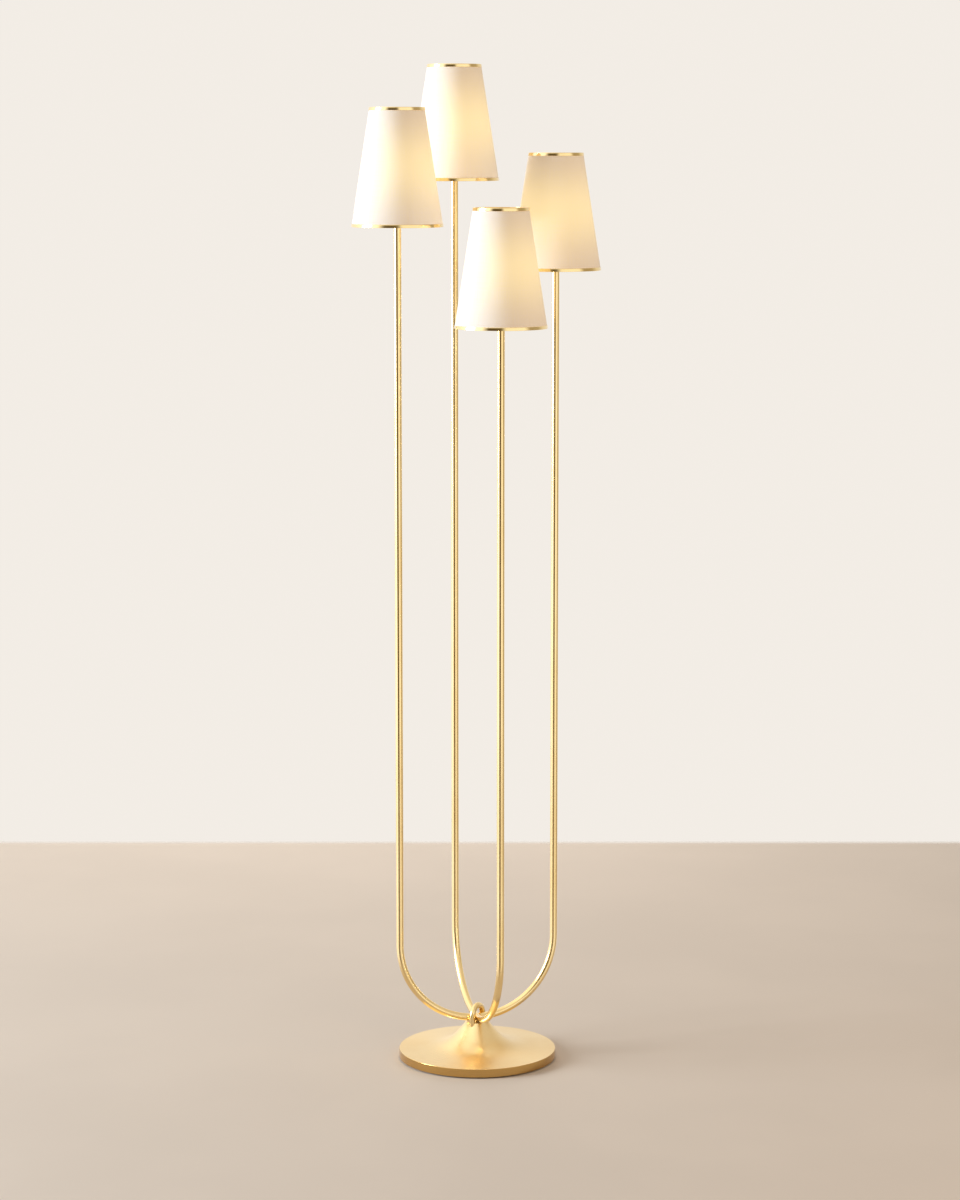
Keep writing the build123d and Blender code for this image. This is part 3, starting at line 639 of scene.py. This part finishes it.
for arm, bottom in SHADE_BOTTOM.items():
    base = bottom + HOLDER_FOOT
    flange = base + FLANGE_FOOT
    shoulder = base + SHOULDER
    top = shoulder + SKIRT_LENGTH
    lower = eased([(WIRE_HOLE, base), (HOLDER_RADIUS, base), (HOLDER_RADIUS, flange),
                   (FLANGE_RADIUS, flange), (FLANGE_RADIUS, shoulder), (SKIRT_RADIUS, shoulder),
                   (SKIRT_RADIUS, shoulder + 2.0)], [0, 0.6, 0.3, 0.8, 0.8, 0.1, 0])
    upper = eased([(SKIRT_RADIUS, top - 1.2), (SKIRT_RADIUS, top), (MOUTH_RADIUS, top),
                   (MOUTH_RADIUS, shoulder - 1.0), (WIRE_HOLE, shoulder - 1.0),
                   (WIRE_HOLE, base)], [0, 0.7, 0.5, 0.1, 0.1, 0])
    skirt = wall(SKIRT_RADIUS, shoulder + 2.0, top - 1.0, SKIRT_ROWS)
    profile = np.vstack([lower[:-1], skirt, upper[1:]])
    cut = thread(shoulder + 3.0, top - 1.5, SKIRT_PITCH, SKIRT_THREAD, SKIRT_RADIUS)
    lampholder = turned(f"{arm}_lampholder", profile, CENTRE[arm], 72, cut)
    finished(lampholder, holder_plastic, "stand", "socket_plastic", f"{arm}_socket_body")


def slanted(nodes):
    """Lines left on rolled sheet by the press tool."""
    return nodes.vector("MULTIPLY", nodes.place(), (400.0, 400.0, 2600.0))


contact_brass = brass("contact_brass", SHELL_BRASS, 0.34, 0.05, slanted)[0]
dress(contact_brass, "centre_contacts", *(f"{arm}_screw_shell" for arm in ARM_ANGLE))

# ---- Bulbs -------------------------------------------------------------------------------------
# A frosted candle-shaped glass in a rolled metal screw cap with its black glass insulator and
# solder button. The glass glows most round its widest part.

BULB_FOOT = 29.3
BULB_LENGTH = 102.0
BULB_WIDEST = 50.0
BULB_RADIUS = 17.5
BULB_WALL = 0.8
NECK_RADIUS = 12.3
NECK_SUNK = 12.0
NECK_PULL = 9.0
SIDE_PULL = 30.0
TIP_PULL = 6.0
CAP_HEIGHT = 24.0
CAP_RADIUS = 13.3
CAP_WALL = 0.6
CAP_PITCH = 3.6
CAP_THREAD = 0.5
CAP_ROWS = 110
BUTTON_RADIUS = 4.5
BUTTON_HEIGHT = 1.6
INSULATOR_TOP = 7.6
BARREL_FOOT = 9.0


def bulb_outline(foot, inset):
    """The glass's outline from its neck to its tip, moved inwards by inset: two cubic curves that
    meet upright where the glass is widest."""
    neck, widest = NECK_RADIUS - inset, BULB_RADIUS - inset
    cap_top, middle, tip = foot + CAP_HEIGHT, foot + BULB_WIDEST, foot + BULB_LENGTH - inset
    lower = bezier([(neck, cap_top), (neck, cap_top + NECK_PULL), (widest, middle - NECK_PULL),
                    (widest, middle)], 24)
    upper = bezier([(widest, middle), (widest, middle + SIDE_PULL), (TIP_PULL, tip), (0.0, tip)],
                   40)
    return np.vstack([[(neck, cap_top - NECK_SUNK)], lower, upper[1:]])


frosted, nodes, shader = material("frosted_glass", (0.58, 0.55, 0.49), 0.30)
from_tip = nodes.add("ShaderNodeSeparateXYZ", {"Vector": nodes.place("UV")}).outputs["Y"]
rising = nodes.span(from_tip, 0.0, 40.0, 0.60, 1.0)
falling = nodes.span(from_tip, 60.0, 100.0, 1.0, 0.35)
glow = nodes.maths("MULTIPLY", rising, falling)
nodes.put(shader.inputs["Emission Color"],
          nodes.between(glow, (0.16, 0.10, 0.05), (0.60, 0.47, 0.27)))
nodes.put(shader.inputs["Emission Strength"], 1.0)
etch = nodes.noise(nodes.place(), 1800.0, 2.0)
nodes.put(shader.inputs["Roughness"], nodes.span(etch, 0.3, 0.7, 0.25, 0.38))

cap_metal, nodes, shader = material("rolled_cap_metal", (0.60, 0.60, 0.58), 0.32, 1.0)
from_foot = nodes.add("ShaderNodeSeparateXYZ", {"Vector": nodes.place("UV")}).outputs["Y"]
tarnish = nodes.noise(nodes.place(), 160.0, 4.0)
metal = nodes.between(tarnish, (0.50, 0.50, 0.48), (0.68, 0.68, 0.66))
insulator = nodes.maths("MULTIPLY", nodes.span(from_foot, 6.0, 6.2),
                        nodes.span(from_foot, 13.0, 13.2, 1.0, 0.0))
nodes.put(shader.inputs["Base Color"], nodes.between(insulator, metal, (0.01, 0.008, 0.012)))
nodes.put(shader.inputs["Roughness"], nodes.span(tarnish, 0.3, 0.7, 0.25, 0.42))
nodes.put(shader.inputs["Metallic"], nodes.maths("SUBTRACT", 1.0, insulator))

for arm, bottom in SHADE_BOTTOM.items():
    foot = bottom + BULB_FOOT
    outside, inside = bulb_outline(foot, 0.0), bulb_outline(foot, BULB_WALL)
    glass = turned(f"{arm}_bulb_envelope", np.vstack([outside[::-1], inside]), CENTRE[arm], 64)
    finished(glass, frosted, f"{arm}_bulb", "bulb_glass", f"{arm}_bulb_glass")
    top = foot + CAP_HEIGHT
    button = eased([(0.0, foot), (BUTTON_RADIUS, foot), (BUTTON_RADIUS, foot + BUTTON_HEIGHT),
                    (CAP_RADIUS, foot + INSULATOR_TOP), (CAP_RADIUS, foot + BARREL_FOOT)],
                   [0, 0.8, 0.4, 0.6, 0])
    barrel = wall(CAP_RADIUS, foot + BARREL_FOOT, top - 0.5, CAP_ROWS)
    edge = [(CAP_RADIUS - 0.2, top), (CAP_RADIUS - CAP_WALL, top),
            (CAP_RADIUS - CAP_WALL, foot + INSULATOR_TOP), (0.0, foot + INSULATOR_TOP)]
    cut = thread(foot + BARREL_FOOT + 0.5, top - 1.5, CAP_PITCH, CAP_THREAD, CAP_RADIUS)
    cap = turned(f"{arm}_bulb_screw_cap", np.vstack([button[:-1], barrel, edge]), CENTRE[arm], 72,
                 cut)
    finished(cap, cap_metal, f"{arm}_bulb", "bulb_cap_metal", f"{arm}_bulb_cap")

# ---- Shade liners ------------------------------------------------------------------------------
# A translucent plastic cone under each shade's cloth keeps it in shape and spreads the light.
# It is cut from sheet, rolled and welded.

FOOT_RADIUS = 71.6
HEAD_RADIUS = 43.1
WALL_FOOT = 0.9
WALL_RISE = 183.2
FABRIC = 0.5
GLUE = 0.1
LINER = 0.7
LINER_ROWS = 25
LEAN = math.atan2(FOOT_RADIUS - HEAD_RADIUS, WALL_RISE)
SLANT = math.hypot(FOOT_RADIUS - HEAD_RADIUS, WALL_RISE)


def leaning(bottom, out, up):
    """Radius and height of places on a shade's leaning wall, given out from the cloth's outer
    face and up from its foot. Both directions turn by the wall's lean."""
    radius = FOOT_RADIUS + out * math.cos(LEAN) - up * math.sin(LEAN)
    return radius, bottom + WALL_FOOT + out * math.sin(LEAN) + up * math.cos(LEAN)


def on_wall(bottom, places):
    """A profile whose points are given as out and up on a shade's wall."""
    return np.stack(leaning(bottom, *np.asarray(places, float).T), -1)


def glowing(nodes, shader, weak, strong, peak, reach):
    """Light that comes through from the bulb: an emission colour that goes from weak at both rims
    to strong at the height of the bulb. It reads the UV map's second axis, the way up the wall in
    millimetres."""
    up_wall = nodes.add("ShaderNodeSeparateXYZ", {"Vector": nodes.place("UV")}).outputs["Y"]
    below = nodes.span(up_wall, peak - reach[0], peak)
    above = nodes.span(up_wall, peak, peak + reach[1], 1.0, 0.0)
    bright = nodes.maths("MULTIPLY", below, above)
    nodes.put(shader.inputs["Emission Color"], nodes.between(bright, weak, strong))
    nodes.put(shader.inputs["Emission Strength"], 1.0)


liner_finish, nodes, shader = material("translucent_liner", (0.90, 0.88, 0.83), 0.45)
glowing(nodes, shader, (0.16, 0.10, 0.045), (0.52, 0.37, 0.18), 85.0, (85.0, 100.0))
streaks = nodes.noise(nodes.place(), 90.0, 3.0)
nodes.put(shader.inputs["Roughness"], nodes.span(streaks, 0.3, 0.7, 0.38, 0.52))

for arm, bottom in SHADE_BOTTOM.items():
    outer, inner = -FABRIC - GLUE, -FABRIC - GLUE - LINER
    rise = np.linspace(0.0, SLANT, LINER_ROWS)
    up = np.concatenate([rise, rise[::-1], [0.0]])
    out = np.concatenate([np.full(LINER_ROWS, outer), np.full(LINER_ROWS, inner), [outer]])
    cone = turned(f"{arm}_liner", on_wall(bottom, np.stack([out, up], -1)), CENTRE[arm], 128)
    finished(cone, liner_finish, f"{arm}_shade", "shade_liner", f"{arm}_shade_liner")

# ---- Shade cloth -------------------------------------------------------------------------------
# Off-white linen-look cloth, cut as a flat curved strip, rolled round the liner and glued, with a
# ten-millimetre overlap at the back. It glows warm where the bulb stands behind it.

CLOTH_COLOUR = (0.90, 0.87, 0.815)
CLOTH_SHADED = (0.84, 0.80, 0.73)
CLOTH_COLUMNS = 181
CLOTH_ROWS = 49
MEAN_RADIUS = 57.0
THREAD_PITCH = 0.55
OVERLAP = 10.0 / (FOOT_RADIUS - 0.5 * FABRIC)
LAP_RISE = 0.04
LAP_LIFT = 0.03
SEAM_TURN = math.radians(105.0)
TRIM_COVER = 6.0
WAVES = 5
WAVE_HEIGHT = 0.05

cloth, nodes, shader = material("shade_linen", CLOTH_COLOUR, 0.85, **{"Sheen Weight": 0.15})
glowing(nodes, shader, (0.260, 0.158, 0.082), (0.560, 0.392, 0.134), 98.0, (100.0, 95.0))
place = nodes.place("UV")
split = nodes.add("ShaderNodeSeparateXYZ", {"Vector": place})
warp, weft = (nodes.maths("SINE", nodes.maths("MULTIPLY", axis, math.pi / THREAD_PITCH))
              for axis in (split.outputs["X"], split.outputs["Y"]))
weave = nodes.maths("MULTIPLY", warp, weft)
long_slubs, cross_slubs = (nodes.noise(nodes.vector("MULTIPLY", place, stretch), 1.0, 3.0)
                           for stretch in ((1.8, 0.03, 1.0), (0.03, 1.8, 1.0)))
slubs = nodes.maths("MULTIPLY", long_slubs, cross_slubs)
tone = nodes.between(nodes.span(slubs, 0.12, 0.40), CLOTH_SHADED, CLOTH_COLOUR)
tone = nodes.between(nodes.span(weave, -1.0, 1.0, 0.10, 0.0), tone, CLOTH_SHADED)
nodes.put(shader.inputs["Base Color"], tone)
nodes.put(shader.inputs["Roughness"], nodes.span(slubs, 0.1, 0.4, 0.92, 0.80))
nodes.bump(shader, nodes.maths("MULTIPLY_ADD", slubs, 1.2, weave), 0.35, 0.00008)


def wrapped(name, bottom, centre):
    """A strip rolled once round a shade's wall and a little further. A place at turn a and up u
    goes to centre + radius (cos a, sin a), with radius and height on the leaning wall. Out from
    the wall it follows a slight wave, WAVE_HEIGHT sin(5 a) sin(pi u / slant), and over its own
    start it steps out by its thickness, except under the trims."""
    turn = SEAM_TURN + np.linspace(0.0, 2 * math.pi + OVERLAP, CLOTH_COLUMNS)
    up = np.linspace(0.0, SLANT, CLOTH_ROWS)
    lapped = np.clip((turn - turn[0] - 2 * math.pi + LAP_RISE) / LAP_RISE, 0.0, 1.0)
    free_of_trim = np.clip(np.minimum(up, SLANT - up) / TRIM_COVER - 0.5, 0.0, 1.0)
    lap = (FABRIC + LAP_LIFT) * free_of_trim[:, None] * lapped[None, :]
    wave = WAVE_HEIGHT * np.sin(WAVES * turn)[None, :] * np.sin(math.pi * up / SLANT)[:, None]
    radius, height = leaning(bottom, -0.5 * FABRIC + lap + wave, up[:, None])
    points = np.stack([centre[0] + radius * np.cos(turn), centre[1] + radius * np.sin(turn),
                       height], -1)
    return skin(name, points, (turn - turn[0]) * MEAN_RADIUS, up)


for arm, bottom in SHADE_BOTTOM.items():
    wrap = wrapped(f"{arm}_cloth", bottom, CENTRE[arm])
    thickness = wrap.modifiers.new("thickness", "SOLIDIFY")
    thickness.thickness = FABRIC / MM
    thickness.offset = 0.0
    finished(wrap, cloth, f"{arm}_shade", "shade_fabric", f"{arm}_shade_fabric")

# ---- Shade trims and frames --------------------------------------------------------------------
# A polished brass channel is rolled over each rim. Inside the lower one a wire ring is brazed,
# and three spokes rise from it to the flat washer that sits on the lampholder.

CHANNEL = [(0.80, -0.9), (0.95, 1.6), (0.80, 4.2), (0.1, 4.2), (0.1, -0.1), (-1.4, -0.1),
           (-1.4, 4.2), (-2.2, 4.2), (-2.2, -0.9)]
CHANNEL_EASE = [0.45, 1.2, 0.25, 0.2, 0.1, 0.1, 0.2, 0.25, 0.45]
WIRE_RADIUS = 1.5
WIRE_PLACE = (-3.4, 2.1)
WIRE_SIDES = 16
WASHER_BORE = 20.05
WASHER_EDGE = 27.0
WASHER_BOTTOM = 27.1
WASHER_TOP = 28.6
WASHER_EASE = 0.3
SPOKES = 3
SPOKE_START = 90.0
SPOKE_ROWS = 9
RIM_BRASS = ((0.930, 0.730, 0.370), (0.860, 0.640, 0.290))


def burnishing(nodes):
    """Faint lines that run along a rolled rim."""
    return nodes.vector("MULTIPLY", nodes.place("UV"), (0.03, 5.0, 1.0))


rim_brass = brass("polished_rim_brass", RIM_BRASS, 0.13, 0.025, burnishing, strength=0.10)[0]

for arm, bottom in SHADE_BOTTOM.items():
    body = f"{arm}_shade"
    section = eased(CHANNEL, CHANNEL_EASE, closed=True)
    lower_rim = turned(f"{arm}_lower_rim", on_wall(bottom, section), CENTRE[arm], 160)
    finished(lower_rim, rim_brass, body, "polished_brass", f"{arm}_shade_frame")
    flipped = section * (1.0, -1.0) + (0.0, SLANT)
    upper_rim = turned(f"{arm}_upper_rim", on_wall(bottom, flipped), CENTRE[arm], 160)
    finished(upper_rim, rim_brass, body, "polished_brass", f"{arm}_shade_top_trim")
    ring_place = on_wall(bottom, [WIRE_PLACE])[0]
    turn = np.linspace(0.0, 2 * math.pi, WIRE_SIDES + 1)
    loop = ring_place + WIRE_RADIUS * np.stack([np.cos(turn), np.sin(turn)], -1)
    finished(turned(f"{arm}_wire_ring", loop, CENTRE[arm], 128), rim_brass, body, "polished_brass")
    low, high = bottom + WASHER_BOTTOM, bottom + WASHER_TOP
    washer = eased([(WASHER_BORE, low), (WASHER_EDGE, low), (WASHER_EDGE, high),
                    (WASHER_BORE, high)], WASHER_EASE, closed=True)
    finished(turned(f"{arm}_washer", washer, CENTRE[arm], 72), rim_brass, body, "polished_brass")
    hub_place = np.array([WASHER_EDGE - WIRE_RADIUS, bottom + 0.5 * (WASHER_BOTTOM + WASHER_TOP)])
    t = np.concatenate([[0.0], np.linspace(0.0, 1.0, SPOKE_ROWS), [1.0]])[:, None]
    run = hub_place + (ring_place - hub_place) * t
    radii = np.concatenate([[0.0], np.full(SPOKE_ROWS, WIRE_RADIUS), [0.0]])
    for number in range(SPOKES):
        bearing = math.radians(SPOKE_START + 360.0 / SPOKES * number)
        outwards = np.array([math.cos(bearing), math.sin(bearing), 0.0])
        line = np.array([*CENTRE[arm], 0.0]) + run[:, :1] * outwards + run[:, 1:] * UP
        across = (-outwards[1], outwards[0], 0.0)
        spoke = drawn(f"{arm}_spoke_{number + 1}", line, across, radii, sides=WIRE_SIDES)
        finished(spoke, rim_brass, body, "polished_brass")

# ---- Clamping rings ----------------------------------------------------------------------------
# An off-white moulded ring with twelve finger flutes screws down on each shade's washer.
# It is of the lampholder's plastic.

RING_BORE = 19.8
RING_EDGE = 24.5
RING_BOTTOM = 28.7
RING_TOP = 34.7
RING_EASE = [0.3, 0.6, 0.9, 0.5]
FLUTES = 12
FLUTE_RADIUS = 1.5
FLUTE_REACH = 1.2


def fluting(angle, radius, height):
    """Finger flutes as relief: near each flute the edge follows a small circle whose centre lies
    half its radius outside the ring. A ray at turn d from the centre, which lies at distance c,
    meets it at c cos d - sqrt(r^2 - c^2 sin^2 d)."""
    centre_distance = RING_EDGE + 0.5 * FLUTE_RADIUS
    pitch = 2 * math.pi / FLUTES
    d = (angle + 0.5 * pitch) % pitch - 0.5 * pitch
    square = np.maximum(FLUTE_RADIUS ** 2 - (centre_distance * np.sin(d)) ** 2, 0.0)
    meets = centre_distance * np.cos(d) - np.sqrt(square)
    edge = np.where(square > 0.0, np.minimum(meets, RING_EDGE), RING_EDGE)
    return np.where(radius > RING_EDGE - FLUTE_REACH, RING_EDGE - edge, 0.0)


for arm, bottom in SHADE_BOTTOM.items():
    low, high = bottom + RING_BOTTOM, bottom + RING_TOP
    corners = [(RING_BORE, low), (RING_EDGE, low), (RING_EDGE, high), (RING_BORE, high)]
    ring = turned(f"{arm}_clamping_ring", eased(corners, RING_EASE, closed=True), CENTRE[arm], 288,
                  fluting)
    finished(ring, holder_plastic, f"{arm}_ring", "socket_plastic", f"{arm}_clamp_ring")
